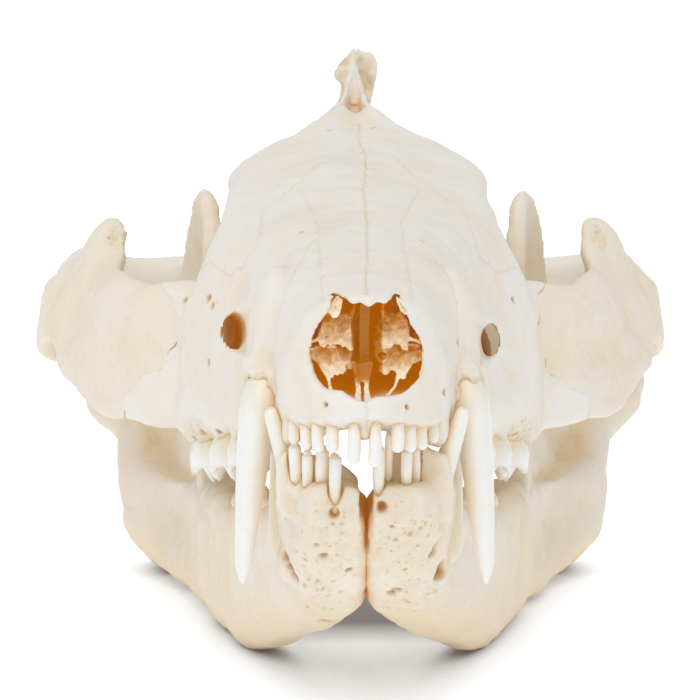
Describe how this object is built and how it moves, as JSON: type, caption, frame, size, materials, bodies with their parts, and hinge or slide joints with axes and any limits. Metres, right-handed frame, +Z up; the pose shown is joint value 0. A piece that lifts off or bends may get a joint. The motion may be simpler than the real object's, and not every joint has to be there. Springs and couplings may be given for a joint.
{
  "type": "opossum skull",
  "caption": "Skull of a large old opossum with its lower jaw, long snout, flared cheek arches, high crest and long canine teeth, at rest on the jaw.",
  "frame": {"origin": "on the floor, under the middle of the bounding box", "axes": "+Y runs from the nose to the back of the skull, +Z up, +X to the right of a viewer who faces the nose"},
  "size_m": [0.0703, 0.1268, 0.0566],
  "materials": {
    "bone": "dry cleaned bone, matt with a faint sheen",
    "tooth": "smooth enamel, satin"
  },
  "bodies": {
    "root": {"cranium": "bone", "zygoma_left": "bone", "zygoma_right": "bone", "mandible_left": "bone", "mandible_right": "bone", "upper_canine_left": "tooth", "upper_canine_right": "tooth"}
  },
  "joints": []
}
